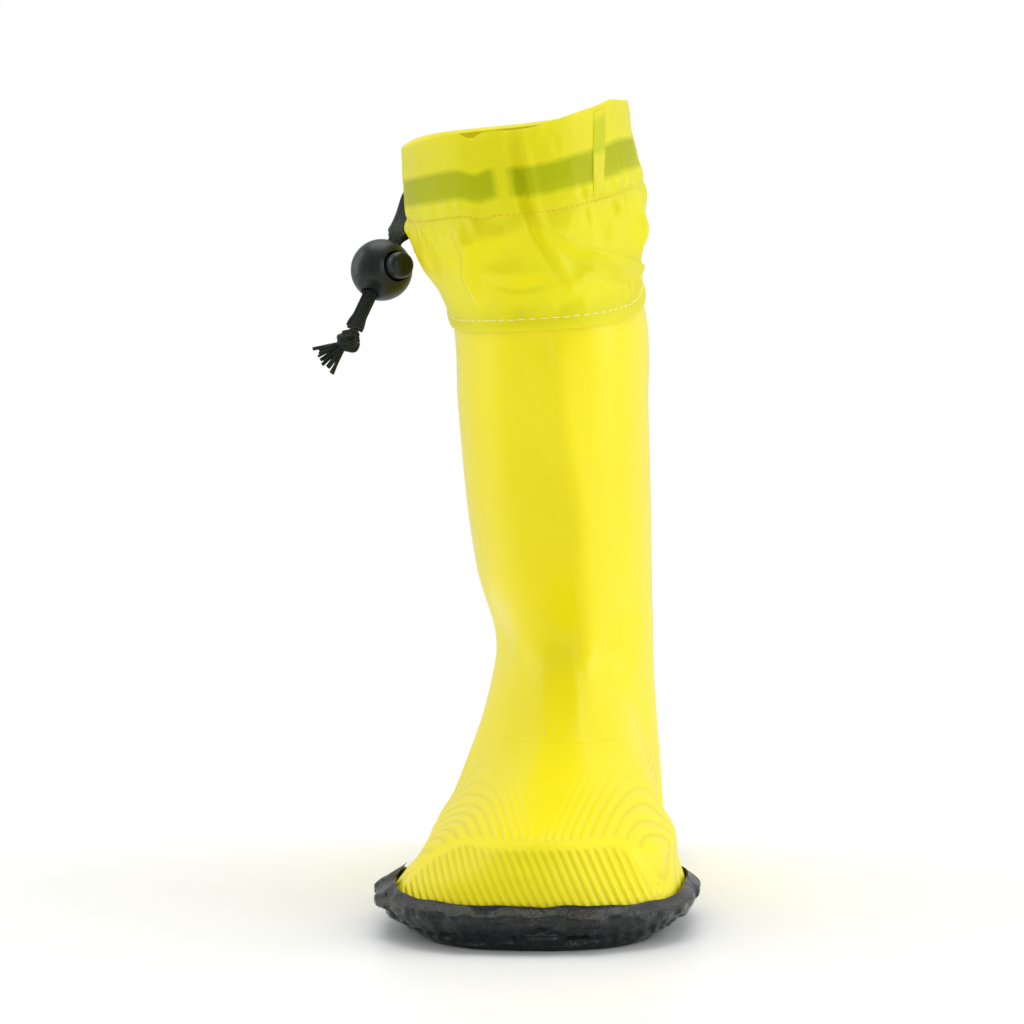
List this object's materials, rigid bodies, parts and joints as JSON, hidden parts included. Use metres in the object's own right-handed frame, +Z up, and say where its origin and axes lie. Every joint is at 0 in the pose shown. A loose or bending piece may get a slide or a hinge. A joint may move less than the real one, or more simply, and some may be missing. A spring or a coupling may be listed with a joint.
{
  "type": "rubber rain boot",
  "caption": "Child's tall rubber boot for the right foot: ribbed foot, smooth leg, thin black sole and a gathered nylon collar closed by an elastic drawband with a ball cord lock.",
  "frame": {"origin": "on the ground, at the middle of the sole's outline", "axes": "+Z up the leg, -Y to the toe, +X to the inner (big toe) side of this right boot"},
  "size_m": [0.1057, 0.1952, 0.2144],
  "materials": {
    "black_rubber": "satin, crinkled",
    "ribbed_rubber": "satin, fine diagonal ribs",
    "smooth_rubber": "glossy",
    "nylon": "thin coated nylon, slightly see-through",
    "thread": "matt",
    "elastic": "matt, ribbed",
    "black_plastic": "satin",
    "steel": "bright",
    "cotton": "matt knit",
    "foam": "matt sponge",
    "board": "matt fibre board"
  },
  "bodies": {
    "boot": {"outsole": "black_rubber", "foxing_strip": "black_rubber", "toe_bumper": "black_rubber", "sponge_filler": "foam", "insole_board": "board", "sockliner": "foam", "vamp": "ribbed_rubber", "shaft": "smooth_rubber", "joint_tape": "cotton", "heel_patch": "ribbed_rubber", "back_seam_strip": "smooth_rubber", "lining": "cotton", "seam_tape": "cotton", "gaiter": "nylon", "channel_stitching": "thread", "hem_stitching": "thread", "side_seam": "nylon", "buttonhole_stitching": "thread", "drawband": "elastic", "tail_strand_front": "elastic", "tail_strand_rear": "elastic", "tail_knot": "elastic", "frayed_end": "elastic"},
    "cord_lock": {"cord_lock_ball": "black_plastic", "cord_lock_spring": "steel"},
    "button": {"cord_lock_plunger": "black_plastic"}
  },
  "joints": [
    {"name": "lock_slide", "type": "slide", "parent": "boot", "child": "cord_lock", "axis": [0.3398, 0.4198, 0.8416], "range_m": [-0.007, 0.002]},
    {"name": "button_press", "type": "slide", "parent": "cord_lock", "child": "button", "axis": [-0.6565, 0.7467, -0.1074], "range_m": [0, 0.002], "stiffness_N_per_m": 400, "springref_m": -0.002, "deforming": ["cord_lock_spring"]}
  ]
}
